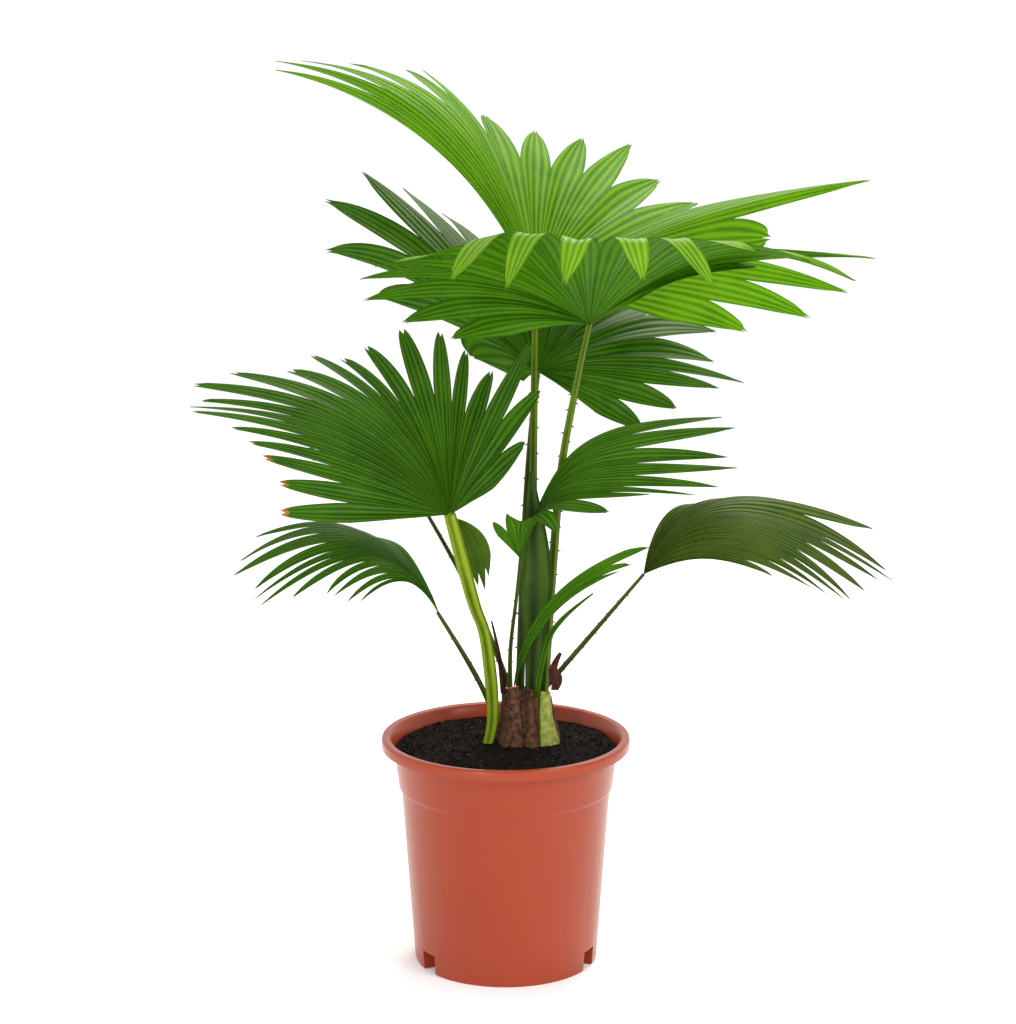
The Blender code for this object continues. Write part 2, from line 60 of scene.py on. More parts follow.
camera_data = bpy.data.cameras.new("camera")
camera_data.sensor_width = SENSOR
camera_data.lens = FOCAL_PIXELS * SENSOR / IMAGE_SIDE
camera = bpy.data.objects.new("camera", camera_data)
camera.location = CAMERA_PLACE
camera.rotation_euler = (math.radians(90.0 - CAMERA_TILT), 0.0, 0.0)
bpy.context.collection.objects.link(camera)
bpy.context.scene.camera = camera
print("lens", round(camera_data.lens, 1), "mm")

# %% [markdown]
# Soft studio light from all round comes from a white world. A key light at the right models
# the pot, a tall strip at the left gives it gloss, and one behind shines through the top leaves.

# %% World and lights
WORLD_STRENGTH = 1.08
bpy.context.scene.view_settings.view_transform = "Standard"


def linear(colour):
    """Turn an sRGB hex colour into linear red, green, blue and alpha."""
    parts = [int(colour[k:k + 2], 16) / 255.0 for k in (1, 3, 5)]
    flat = [p / 12.92 if p <= 0.04045 else ((p + 0.055) / 1.055) ** 2.4 for p in parts]
    return (*flat, 1.0)


def area_light(name, place, aim, size, power, colour="#FFFFFF", size_y=None):
    """A soft box at a place, turned to a point."""
    data = bpy.data.lights.new(name, "AREA")
    data.shape = "RECTANGLE"
    data.size = size
    data.size_y = size_y or size
    data.energy = power
    data.color = linear(colour)[:3]
    lamp = bpy.data.objects.new(name, data)
    lamp.location = place
    lamp.rotation_euler = (Vector(aim) - Vector(place)).to_track_quat("-Z", "Y").to_euler()
    bpy.context.collection.objects.link(lamp)
    return lamp


world = bpy.data.worlds.new("studio")
world.use_nodes = True
world.node_tree.nodes["Background"].inputs["Color"].default_value = linear("#FFFFFF")
world.node_tree.nodes["Background"].inputs["Strength"].default_value = WORLD_STRENGTH
bpy.context.scene.world = world
area_light("key", (1.3, -1.2, 1.3), (0.0, 0.0, 0.3), 0.8, 16.0)
area_light("strip", (-0.75, -1.85, 0.5), (0.0, 0.0, 0.1), 0.08, 14.0, size_y=1.4)
area_light("top_back", (0.35, 1.1, 1.7), (0.05, 0.1, 0.6), 0.9, 22.0, "#FFF8E0")

# %% [markdown]
# One small helper adds a shader node with its settings and links. Every finish uses it.

# %% Shader helper


def add_node(tree, kind, settings=None, links=None):
    """Add a node, set its values and link its inputs from other nodes' outputs."""
    node = tree.nodes.new(kind)
    for key, value in (settings or {}).items():
        if isinstance(key, int) or key in node.inputs:
            node.inputs[key].default_value = value
        else:
            setattr(node, key, value)
    for key, source in (links or {}).items():
        tree.links.new(source, node.inputs[key])
    return node


def fresh_material(name):
    """A material with an empty node tree and an output."""
    material = bpy.data.materials.new(name)
    material.use_nodes = True
    tree = material.node_tree
    tree.nodes.clear()
    output = add_node(tree, "ShaderNodeOutputMaterial")
    return material, tree, output


# %% [markdown]
# A palm leaf is a waxed sheet of green cells with parallel veins. Wax gives it a satin gloss,
# and its thinness lets light from behind through, brighter and yellower than the green it
# reflects. The veins lie about 1.5 mm apart, which is too fine to show from here, so a wave
# pattern draws about four to a leaflet, some 5 mm apart, in colour and in relief. Softer patches
# of tone, about 40 mm wide, lie over them.

# %% Leaf finishes
VEINS_ACROSS = 1.3
VEIN_WEIGHT = 0.5
PATCH_WEIGHT = 0.7
PATCH_SCALE = 26.0
LEAF_GLOSS = 0.14
VEIN_RELIEF = 0.0009


def leaf_finish(name, deep, pale, glow, roughness=0.38, glow_share=0.3):
    """Waxed leaf: deep and pale greens in veins and soft patches, and light through it."""
    material, tree, output = fresh_material(name)
    uv = add_node(tree, "ShaderNodeUVMap", {"uv_map": "leaf"})
    veins = add_node(tree, "ShaderNodeTexWave", {"wave_type": "BANDS", "bands_direction": "X",
                                                 "Scale": VEINS_ACROSS, "Distortion": 0.6, "Detail": 1.0,
                                                 "Detail Scale": 0.6},
                     {"Vector": uv.outputs["UV"]})
    place = add_node(tree, "ShaderNodeTexCoord")
    patches = add_node(tree, "ShaderNodeTexNoise", {"Scale": PATCH_SCALE, "Detail": 4.0, "Roughness": 0.6},
                       {"Vector": place.outputs["Object"]})
    vein_part = add_node(tree, "ShaderNodeMath", {"operation": "MULTIPLY", 1: VEIN_WEIGHT},
                         {0: veins.outputs["Fac"]})
    both = add_node(tree, "ShaderNodeMath", {"operation": "MULTIPLY_ADD", 1: PATCH_WEIGHT},
                    {0: patches.outputs["Fac"], 2: vein_part.outputs["Value"]})
    green = add_node(tree, "ShaderNodeValToRGB", None, {"Fac": both.outputs["Value"]})
    green.color_ramp.elements[0].position = 0.3
    green.color_ramp.elements[0].color = linear(deep)
    green.color_ramp.elements[1].position = 0.8
    green.color_ramp.elements[1].color = linear(pale)
    bump = add_node(tree, "ShaderNodeBump", {"Strength": 0.6, "Distance": VEIN_RELIEF},
                    {"Height": veins.outputs["Fac"]})
    wax = add_node(tree, "ShaderNodeBsdfPrincipled", {"Roughness": roughness, "IOR": 1.45,
                                                        "Specular IOR Level": LEAF_GLOSS},
                   {"Base Color": green.outputs["Color"], "Normal": bump.outputs["Normal"]})
    through = add_node(tree, "ShaderNodeBsdfTranslucent", {"Color": linear(glow)},
                       {"Normal": bump.outputs["Normal"]})
    mix = add_node(tree, "ShaderNodeMixShader", {0: glow_share},
                   {1: wax.outputs["BSDF"], 2: through.outputs["BSDF"]})
    tree.links.new(mix.outputs["Shader"], output.inputs["Surface"])
    return material


LEAF_TOP = leaf_finish("Waxed leaf, upper side", "#1C4200", "#426E06", "#70A806", 0.42, 0.25)
LEAF_UNDER = leaf_finish("Leaf underside", "#2C5800", "#4E8206", "#6CA800", 0.55, 0.3)
# Painted light: the upper side again, with paler greens and more glow, for leaflets that fold over into
# the light.
FOLD_TOP_PAINTED_LIGHT = leaf_finish("Waxed leaf, folded over, with painted light", "#4E8404", "#86B420", "#96C420",
                       0.4, 0.35)
# Painted shade: the spear's dark greens and weak glow stand for the shade it stands in.
SPEAR_IN_PAINTED_SHADE = leaf_finish("Folded young leaf, darkened with painted shade", "#16290A", "#385414", "#3E5E0A", 0.45, 0.08)
# Painted light: paler greens and a stronger yellow glow, a lit copy of the leaf for the top back frond.
PAINTED_LIGHT_TOP = leaf_finish("Leaf with painted light, upper side", "#386A00", "#72A204", "#96D000", 0.48, 0.4)
PAINTED_LIGHT_UNDER = leaf_finish("Leaf with painted light, underside", "#427400", "#72A20C", "#96D004", 0.55, 0.4)
# Painted shade: darker greens and a weaker glow, a shaded copy of the leaf for fronds under the others.
SHADE_TOP = leaf_finish("Leaf in painted shade, upper side", "#1C3402", "#4A6016", "#4E7408", 0.4, 0.12)
SHADE_UNDER = leaf_finish("Leaf in painted shade, underside", "#284404", "#4E6E12", "#4E8008", 0.55, 0.15)
print(len(bpy.data.materials), "materials with the leaves")

# %% [markdown]
# Dead leaf, husk and compost are dry plant fibre: matt, with hardly any gloss, in grain a few
# millimetres across. A noise pattern with a scale of 220 to the metre makes grain of 4 to 5 mm,
# and one of 420 makes crumbs of 2 to 3 mm. The same noise gives the relief.

# %% Dry finishes
DRY_GLOSS = 0.2


def dry_finish(name, dark, light, scale, roughness=0.85, bump_depth=0.0012):
    """Dead plant fibre or soil: two browns in grain, matt, with relief."""
    material, tree, output = fresh_material(name)
    place = add_node(tree, "ShaderNodeTexCoord")
    grain = add_node(tree, "ShaderNodeTexNoise", {"Scale": scale, "Detail": 8.0, "Roughness": 0.7},
                     {"Vector": place.outputs["Object"]})
    brown = add_node(tree, "ShaderNodeValToRGB", None, {"Fac": grain.outputs["Fac"]})
    brown.color_ramp.elements[0].position = 0.35
    brown.color_ramp.elements[0].color = linear(dark)
    brown.color_ramp.elements[1].position = 0.7
    brown.color_ramp.elements[1].color = linear(light)
    bump = add_node(tree, "ShaderNodeBump", {"Strength": 0.7, "Distance": bump_depth},
                    {"Height": grain.outputs["Fac"]})
    body = add_node(tree, "ShaderNodeBsdfPrincipled",
                    {"Roughness": roughness, "IOR": 1.4, "Specular IOR Level": DRY_GLOSS},
                    {"Base Color": brown.outputs["Color"], "Normal": bump.outputs["Normal"]})
    tree.links.new(body.outputs["BSDF"], output.inputs["Surface"])
    return material


BURNT_TIP = dry_finish("Dry leaf tip", "#6A3A14", "#A8762E", 300.0)
HUSK = dry_finish("Fibrous husk", "#24130C", "#6E4C36", 220.0)
CUT_FACE = dry_finish("Cut leaf base, orange flesh", "#8E3210", "#D06A24", 260.0, 0.6)
GREEN_BASE = dry_finish("Green leaf base", "#5A6A1C", "#A8AE58", 160.0, 0.55)
DEAD_LEAF = dry_finish("Dead leaf", "#241210", "#5A3024", 180.0)
COMPOST = dry_finish("Potting compost", "#050302", "#1A0F0C", 420.0, 1.0, 0.002)
SPECK = dry_finish("Pale compost grit", "#5A4638", "#9A8470", 500.0, 0.9)
print(len(bpy.data.materials), "materials with the dry ones")

# %% [markdown]
# The stalks have the leaves' wax over a thicker body, so next to no light comes through.

# %% Stalk finishes
STALK_GREEN = leaf_finish("Leaf stalk, green", "#2C4202", "#5A7010", "#5A7010", 0.45, 0.05)
STALK_DARK = leaf_finish("Leaf stalk, dark", "#222E08", "#46541C", "#46541C", 0.5, 0.05)
STALK_PALE = leaf_finish("Leaf stalk, yellow green", "#3C5404", "#7C921C", "#7C921C", 0.42, 0.08)
print(len(bpy.data.materials), "materials")

# %% [markdown]
# The pot is polypropylene, injection moulded and dyed terracotta: a satin surface of very even
# colour. Cloudy patches about 110 mm wide and a skin with a grain of about 1 mm are both faint.

# %% Pot plastic
PLASTIC_GLOSS = 0.3


def moulded_plastic(name, deep, pale, roughness):
    """Moulded polypropylene: very even colour, satin gloss, a faint moulding texture."""
    material, tree, output = fresh_material(name)
    place = add_node(tree, "ShaderNodeTexCoord")
    cloud = add_node(tree, "ShaderNodeTexNoise", {"Scale": 9.0, "Detail": 3.0},
                     {"Vector": place.outputs["Object"]})
    tone = add_node(tree, "ShaderNodeValToRGB", None, {"Fac": cloud.outputs["Fac"]})
    tone.color_ramp.elements[0].color = linear(deep)
    tone.color_ramp.elements[1].color = linear(pale)
    skin = add_node(tree, "ShaderNodeTexNoise", {"Scale": 900.0, "Detail": 2.0},
                    {"Vector": place.outputs["Object"]})
    bump = add_node(tree, "ShaderNodeBump", {"Strength": 0.08, "Distance": 0.0003},
                    {"Height": skin.outputs["Fac"]})
    body = add_node(tree, "ShaderNodeBsdfPrincipled",
                    {"Roughness": roughness, "IOR": 1.49, "Specular IOR Level": PLASTIC_GLOSS},
                    {"Base Color": tone.outputs["Color"], "Normal": bump.outputs["Normal"]})
    tree.links.new(body.outputs["BSDF"], output.inputs["Surface"])
    return material


POT_PLASTIC = moulded_plastic("Terracotta polypropylene", "#8E3318", "#983C22", 0.27)
print("plastic made:", POT_PLASTIC.name)

# %% [markdown]
# Every piece is a mesh from arrays of points in millimetres. One helper makes the object,
# gives it its finishes, ties it to the body, and hides the solid that it stands for.

# %% Mesh helper


def add_piece(name, points, faces, finishes, stands_for=(), indices=None, uvs=None, smooth=True):
    """Make a dressed piece from points in millimetres."""
    mesh = bpy.data.meshes.new(name)
    mesh.from_pydata((np.array(points) * MM).tolist(), [], faces)
    for finish in finishes:
        mesh.materials.append(finish)
    if indices is not None:
        mesh.polygons.foreach_set("material_index", indices)
    if uvs is not None:
        layer = mesh.uv_layers.new(name="leaf")
        corners = np.empty(len(mesh.loops), dtype=np.int32)
        mesh.loops.foreach_get("vertex_index", corners)
        layer.data.foreach_set("uv", np.array(uvs, dtype=np.float32)[corners].ravel())
    if smooth:
        mesh.shade_smooth()
        mesh.set_sharp_from_angle(angle=math.radians(40.0))
    mesh.update()
    piece = bpy.data.objects.new(name, mesh)
    bpy.context.collection.objects.link(piece)
    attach(piece, "root")
    if stands_for:
        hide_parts(*stands_for)
    return piece


def spaced(curve, shares):
    """Points of a polyline at given shares of its length."""
    steps = np.linalg.norm(np.diff(curve, axis=0), axis=1)
    along = np.concatenate(([0.0], np.cumsum(steps)))
    along /= along[-1]
    return np.stack([np.interp(shares, along, curve[:, axis]) for axis in range(3)], axis=1)


SPAN_SAMPLES = 16


def smooth_path(knots, count):
    """Points along a smooth curve through the knots, evenly spaced by length."""
    knots = np.array(knots, dtype=float)
    if len(knots) == 2:
        knots = np.array([knots[0], knots.mean(axis=0), knots[1]])
    tangents = np.gradient(knots, axis=0)
    tangents[0] = 1.5 * (knots[1] - knots[0]) - 0.5 * tangents[1]
    tangents[-1] = 1.5 * (knots[-1] - knots[-2]) - 0.5 * tangents[-2]
    fine = []
    for k in range(len(knots) - 1):
        for t in np.linspace(0.0, 1.0, SPAN_SAMPLES, endpoint=(k == len(knots) - 2)):
            fine.append((2 * t**3 - 3 * t**2 + 1) * knots[k] + (t**3 - 2 * t**2 + t) * tangents[k]
                        + (3 * t**2 - 2 * t**3) * knots[k + 1] + (t**3 - t**2) * tangents[k + 1])
    return spaced(np.array(fine), np.linspace(0.0, 1.0, count))


# %% [markdown]
# A frond's blade is a pleated fan. Each leaflet's rib leaves the hub, arches or creases, and
# ends at its tip. Near the hub neighbours are fused along a raised seam, so the blade is
# folded like a paper fan, and past the split each leaflet narrows on its own to a tip with
# two small points. The ribs are those of the solid blades. The folds are finer, and the leaflets
# narrow in their own way.

# %% Frond rule
TIP_WIDTH = 0.10
LEAF_THICKNESS = 0.45
FINE_STATIONS = 44
RIB_SAMPLES = 120
FIRST_SHARE = 0.004
RAGGED = 0.05
LEAST_FOLD = 0.3
STEEPEST_PLEAT = 0.34
NARROWING = 1.15
CUT_WIDTH = 0.965
TIP_NOTCH = 0.03
NOTCH_FROM = 0.6
SWAY_CHANCE = 0.5
SWAY = 0.02
DRY_FROM = 0.96
FACING_STATION = 10
COLUMNS = np.array([-1.0, -0.75, -0.5, -0.25, 0.0, 0.25, 0.5, 0.75, 1.0])


def rib_curve(hub, bend, tip, fold, shares):
    """One leaflet's rib, from the hub past the bend to the tip."""
    t = np.linspace(0.0, 1.0, RIB_SAMPLES)[:, None]
    start = (1.0 - t) ** 2
    middle = 2.0 * fold * t * (1.0 - t)
    end = t**2
    return spaced((start * hub + middle * bend + end * tip) / (start + middle + end), shares)


def spread_guides(guides, count):
    """Tip, bend and fold for each leaflet, read from a smooth curve through the guides."""
    numbers = np.array([g[0] for g in guides], dtype=float)
    values = np.array([[*g[1], *g[2], g[3]] for g in guides], dtype=float)
    slopes = np.gradient(values, numbers, axis=0)
    result = []
    for leaflet in range(count):
        k = int(np.clip(np.searchsorted(numbers, leaflet, side="right") - 1, 0, len(numbers) - 2))
        span = numbers[k + 1] - numbers[k]
        t = (leaflet - numbers[k]) / span
        result.append((2 * t**3 - 3 * t**2 + 1) * values[k] + (t**3 - 2 * t**2 + t) * span * slopes[k]
                      + (3 * t**2 - 2 * t**3) * values[k + 1] + (t**3 - t**2) * span * slopes[k + 1])
    return np.array(result)


def unit(rows):
    """Rows of vectors, each made one long."""
    return rows / np.maximum(np.linalg.norm(rows, axis=-1, keepdims=True), 1e-9)


def frond(name, hub, guides, finishes, split, seed, blunt=0.0, pleat=3.2, burnt=()):
    """A pleated fan blade with its leaflets cut free past the split."""
    count = int(guides[-1][0]) + 1
    hub = np.array(hub, dtype=float)
    spread = spread_guides(guides, count)
    chance = np.random.default_rng(seed)
    shares = np.concatenate((np.linspace(FIRST_SHARE, split, FINE_STATIONS // 2, endpoint=False),
                             np.linspace(split, 1.0, FINE_STATIONS - FINE_STATIONS // 2)))
    ribs = []
    for row in spread:
        tip = hub + (row[0:3] - hub) * (1.0 + RAGGED * chance.uniform(-1.0, 1.0))
        ribs.append(rib_curve(hub, row[3:6], tip, max(row[6], LEAST_FOLD), shares))
    ribs = np.array(ribs)
    seams = np.empty((count + 1, len(shares), 3))
    seams[1:-1] = 0.5 * (ribs[:-1] + ribs[1:])
    seams[0] = 2.0 * ribs[0] - seams[1]
    seams[-1] = 2.0 * ribs[-1] - seams[-2]
    ahead = unit(np.gradient(ribs, axis=1))
    across = unit(seams[1:] - seams[:-1])
    normals = unit(np.cross(across, ahead))
    if normals[:, FINE_STATIONS // 3, 2].mean() < 0.0:
        normals = -normals
    seam_normals = np.empty_like(seams)
    seam_normals[1:-1] = unit(normals[:-1] + normals[1:])
    seam_normals[0] = normals[0]
    seam_normals[-1] = normals[-1]
    width = np.linalg.norm(seams[1:] - seams[:-1], axis=2).mean(axis=0)
    lift = np.minimum(pleat, STEEPEST_PLEAT * width)
    seams = seams + seam_normals * lift[None, :, None]
    points, faces, indices, uvs = [], [], [], []
    columns = len(COLUMNS)
    for leaflet in range(count):
        past = np.clip((shares - split) / (1.0 - split), 0.0, 1.0)
        end = TIP_WIDTH + blunt * chance.uniform(0.5, 1.5)
        narrow = end + (1.0 - end) * (1.0 - past**NARROWING)
        narrow = np.where(past > 0.0, np.minimum(narrow, CUT_WIDTH), 1.0)
        reach = np.linalg.norm(ribs[leaflet, -1] - hub)
        sheet = np.empty((len(shares), columns, 3))
        for c, u in enumerate(COLUMNS):
            seam = seams[leaflet + (1 if u > 0.0 else 0)]
            edge = ribs[leaflet] + (seam - ribs[leaflet]) * narrow[:, None]
            sheet[:, c] = ribs[leaflet] + (edge - ribs[leaflet]) * abs(u)
            notch = TIP_NOTCH * (1.0 - abs(2.0 * abs(u) - 1.0)) - TIP_NOTCH
            near_tip = np.clip((past - NOTCH_FROM) / 0.4, 0.0, 1.0) ** 2
            sheet[:, c] += ahead[leaflet] * (notch * reach * near_tip)[:, None]
        if chance.uniform() < SWAY_CHANCE:
            sway = chance.uniform(-SWAY, SWAY) * reach
            sheet += normals[leaflet][:, None, :] * (sway * past**2)[:, None, None]
        base = len(points)
        under = sheet - normals[leaflet][:, None, :] * LEAF_THICKNESS
        points.extend(sheet.reshape(-1, 3))
        points.extend(under.reshape(-1, 3))
        for layer in range(2):
            for s in shares:
                uvs.extend([((u + 1.0) * 0.5, s) for u in COLUMNS])
        half = len(shares) * columns
        facing = np.cross(across[leaflet, FACING_STATION], ahead[leaflet, FACING_STATION])
        flip = np.dot(facing, normals[leaflet, FACING_STATION]) < 0.0
        for k in range(len(shares) - 1):
            dry = leaflet in burnt and shares[k] > DRY_FROM
            for c in range(columns - 1):
                a = base + k * columns + c
                top = (a, a + 1, a + columns + 1, a + columns)
                low = tuple(half + i for i in reversed(top))
                faces.append(tuple(reversed(top)) if flip else top)
                faces.append(tuple(reversed(low)) if flip else low)
                indices.extend((2, 2) if dry else (0, 1))
        rim = ([base + k * columns for k in range(len(shares))]
               + [base + (len(shares) - 1) * columns + c for c in range(1, columns)]
               + [base + k * columns + columns - 1 for k in range(len(shares) - 2, -1, -1)]
               + [base + c for c in range(columns - 2, 0, -1)])
        for a, b in zip(rim, rim[1:] + rim[:1]):
            faces.append((b, a, a + half, b + half) if flip else (a, b, b + half, a + half))
            indices.append(1)
    solid = name.replace("_blade", "_frond") if name.endswith("_blade") else name.replace("_sheet", "")
    add_piece(name, points, faces, finishes, (solid,), indices, uvs)
    print(name, count, "leaflets,", len(faces), "faces")


GREEN = (LEAF_TOP, LEAF_UNDER, BURNT_TIP)
# The leaf with painted light: the same leaf, paler and glowing more.
PAINTED_LIGHT_LEAF = (PAINTED_LIGHT_TOP, PAINTED_LIGHT_UNDER, BURNT_TIP)
# The leaf with painted shade: the same leaf, darker and glowing less.
SHADE = (SHADE_TOP, SHADE_UNDER, BURNT_TIP)
print(FINE_STATIONS, "stations along a leaflet,", len(COLUMNS), "columns across it")

# %% [markdown]
# The two top fronds overlap in the picture. The front one shows its underside, and its front
# leaflets crease and hang down; where they fold over, their upper side has painted light. The
# back one is paler, with painted light as if lit from behind, and the lamp behind shines through it.

# %% Top fronds
# The front frond's folded-over upper side has painted light.
frond("top_front_blade", (68.0, -20.0, 548.0), (
    (0, (-48, -60, 541), (15, -35, 560), 1.0),
    (1, (-87, -58, 554), (0, -40, 580), 1.0),
    (3, (-114, -66, 590), (-20, -50, 610), 1.0),
    (5, (-88, -100, 608), (-15, -75, 625), 1.2),
    (6, (-41, -150, 598), (-8, -138, 645), 4.0),
    (8, (43, -222, 603), (55, -204, 647), 4.0),
    (9, (102, -205, 606), (92, -195, 646), 4.0),
    (10, (158, -165, 596), (125, -170, 645), 4.0),
    (11, (191, -135, 618), (150, -140, 640), 2.0),
    (13, (274, -85, 592), (165, -105, 640), 1.3),
    (14, (286, -75, 604), (160, -80, 632), 1.3),
    (15, (188, -78, 598), (130, -60, 600), 1.0),
), (FOLD_TOP_PAINTED_LIGHT, LEAF_UNDER, BURNT_TIP), split=0.66, seed=3)

# The back frond's paler greens are painted light.
frond("top_back_blade", (25.0, 60.0, 566.0), (
    (0, (-181, 30, 744), (-44, 50, 722), 1.0),
    (1, (-182, 45, 751), (-40, 62, 732), 1.0),
    (2, (-169, 62, 756), (-30, 75, 740), 1.0),
    (3, (-134, 92, 753), (-20, 90, 735), 1.0),
    (4, (-90, 132, 753), (-10, 105, 715), 1.0),
    (5, (-73, 152, 748), (-8, 115, 700), 1.0),
    (6, (-18, 212, 706), (2, 135, 670), 1.0),
    (7, (28, 250, 697), (22, 155, 655), 1.0),
    (9, (109, 252, 668), (60, 155, 640), 1.0),
    (11, (170, 185, 627), (95, 125, 615), 1.0),
    (13, (298, 95, 652), (165, 85, 640), 1.0),
    (14, (215, 84, 606), (130, 78, 610), 1.0),
    (15, (281, 70, 562), (150, 70, 610), 1.0),
    (17, (202, 50, 532), (110, 55, 570), 1.0),
), PAINTED_LIGHT_LEAF, split=0.7, seed=5)

# %% [markdown]
# The middle frond spreads behind and under them, and the big left one turns its glossy upper
# side to the front, with a small lobe that hangs behind its stalk.

# %% Middle and left fronds
frond("middle_blade", (27.0, 82.0, 494.0), (
    (0, (-30, 92, 505), (0, 88, 512), 1.0),
    (2, (-159, 112, 596), (-70, 100, 600), 1.0),
    (4, (-119, 150, 653), (-50, 125, 600), 1.0),
    (7, (-20, 270, 590), (5, 175, 590), 1.0),
    (10, (120, 240, 560), (75, 160, 560), 1.0),
    (12, (190, 150, 520), (110, 120, 540), 1.0),
    (13, (184, 105, 499), (105, 100, 520), 1.0),
    (14, (199, 85, 484), (110, 85, 508), 1.0),
    (15, (183, 72, 481), (100, 78, 500), 1.0),
    (16, (148, 60, 465), (85, 72, 485), 1.0),
    (17, (115, 50, 450), (75, 68, 474), 1.0),
), GREEN, split=0.65, seed=8)

frond("left_blade", (-45.0, -70.0, 401.0), (
    (0, (-171, -130, 415), (-110, -112, 409), 1.0),
    (1, (-172, -118, 435), (-115, -105, 424), 1.0),
    (3, (-205, -95, 467), (-120, -90, 448), 1.0),
    (6, (-251, -60, 486), (-120, -60, 480), 1.0),
    (8, (-246, -30, 494), (-115, -40, 492), 1.0),
    (10, (-180, 8, 508), (-95, -20, 492), 1.0),
    (13, (-118, 45, 521), (-75, 0, 482), 1.0),
    (15, (-55, 60, 533), (-50, 5, 478), 1.0),
    (17, (-11, 40, 504), (-30, -10, 466), 1.0),
    (18, (19, 20, 524), (-14, -22, 462), 1.0),
    (19, (29, -10, 490), (-5, -35, 450), 1.0),
    (20, (17, -50, 455), (-5, -58, 430), 1.0),
), GREEN, split=0.62, seed=13, blunt=0.15, burnt=(0, 1, 2))

# The lobe behind the stalk is given painted shade.
frond("left_lobe_sheet", (-42.0, -50.0, 394.0), (
    (0, (-23, -22, 330), (-31, -34, 372), 1.0),
    (1, (-18, -21, 328), (-22, -30, 372), 1.0),
    (2, (-13, -21, 336), (-12, -28, 376), 1.0),
), SHADE, split=0.8, seed=1, pleat=0.8)

# %% [markdown]
# The low fronds arch over to the sides, the right one is folded at its foot, the narrow one
# is young, and a small rear one fills the back.

# %% Low, right, narrow and rear fronds
frond("low_left_blade", (-54.0, -10.0, 300.0), (
    (0, (-117, -62, 326), (-80, -40, 364), 1.0),
    (1, (-128, -66, 327), (-82, -42, 370), 1.0),
    (3, (-150, -60, 335), (-90, -38, 388), 1.0),
    (5, (-194, -55, 322), (-95, -34, 406), 1.0),
    (7, (-212, -45, 334), (-105, -25, 412), 1.0),
    (9, (-219, -15, 352), (-110, -10, 418), 1.0),
    (10, (-214, 8, 368), (-110, 5, 412), 1.0),
    (11, (-150, 30, 350), (-100, 18, 395), 1.0),
), GREEN, split=0.6, seed=21, pleat=1.2)

# The low right frond is given painted shade.
frond("low_right_blade", (115.0, 0.0, 335.0), (
    (0, (223, -48, 344), (162, -28, 372), 1.0),
    (2, (265, -40, 327), (170, -30, 402), 1.0),
    (4, (284, -28, 320), (176, -22, 424), 1.0),
    (6, (302, -5, 332), (168, -10, 434), 1.0),
    (8, (320, 12, 336), (160, 5, 440), 1.0),
    (9, (302, 32, 366), (156, 20, 438), 1.0),
    (11, (220, 50, 366), (140, 35, 424), 1.0),
), SHADE, split=0.68, seed=34, pleat=1.4)

frond("right_blade", (12.0, -14.0, 352.0), (
    (0, (-10, -40, 388), (0, -26, 372), 1.0),
    (1, (1, -38, 394), (6, -26, 376), 1.0),
    (2, (42, -46, 381), (20, -34, 404), 2.0),
    (3, (86, -42, 398), (28, -32, 406), 3.0),
    (4, (118, -30, 412), (28, -28, 408), 3.0),
    (5, (152, -22, 406), (34, -26, 416), 3.0),
    (7, (184, -6, 424), (40, -20, 430), 3.0),
    (8, (192, 8, 437), (44, -16, 440), 2.5),
    (9, (192, 22, 456), (46, -12, 452), 2.0),
    (10, (184, 32, 465), (46, -8, 458), 2.0),
), GREEN, split=0.62, seed=55, pleat=1.0)

frond("narrow_blade", (6.0, 2.0, 231.3), (
    (0, (98, -38, 350), (22, -18, 318), 1.0),
    (1, (106, -40, 356), (18, -20, 326), 1.0),
    (2, (115, -42, 364), (14, -22, 334), 1.0),
), GREEN, split=0.85, seed=2, pleat=1.0)

frond("rear_blade", (-78.0, 118.0, 378.0), (
    (0, (-160, 96, 400), (-116, 104, 408), 1.0),
    (3, (-172, 170, 420), (-118, 146, 428), 1.0),
    (6, (-112, 224, 422), (-90, 170, 428), 1.0),
    (8, (-50, 190, 404), (-58, 156, 414), 1.0),
), GREEN, split=0.6, seed=89, pleat=1.4)

# %% [markdown]
# A stalk is a tough oval rod, and on this palm its two edges carry short spines that point back
# to the foot. It is swept along a curve with shallow flutes all round, and each spine is a small
# cone set on an edge.

# %% Stalks and spines
STALK_FOOT = 228.3
SOIL_FOOT = 189.3
STALK_SIDES = 20
STALK_STATIONS = 48
SPINE_SIDES = 5
SPINE_SEED = 7
SPINE_FROM = 0.12
SPINE_SPAN = 0.74
SPINE_FOOT_LONG = 0.9
SPINE_FOOT_WIDE = 0.6


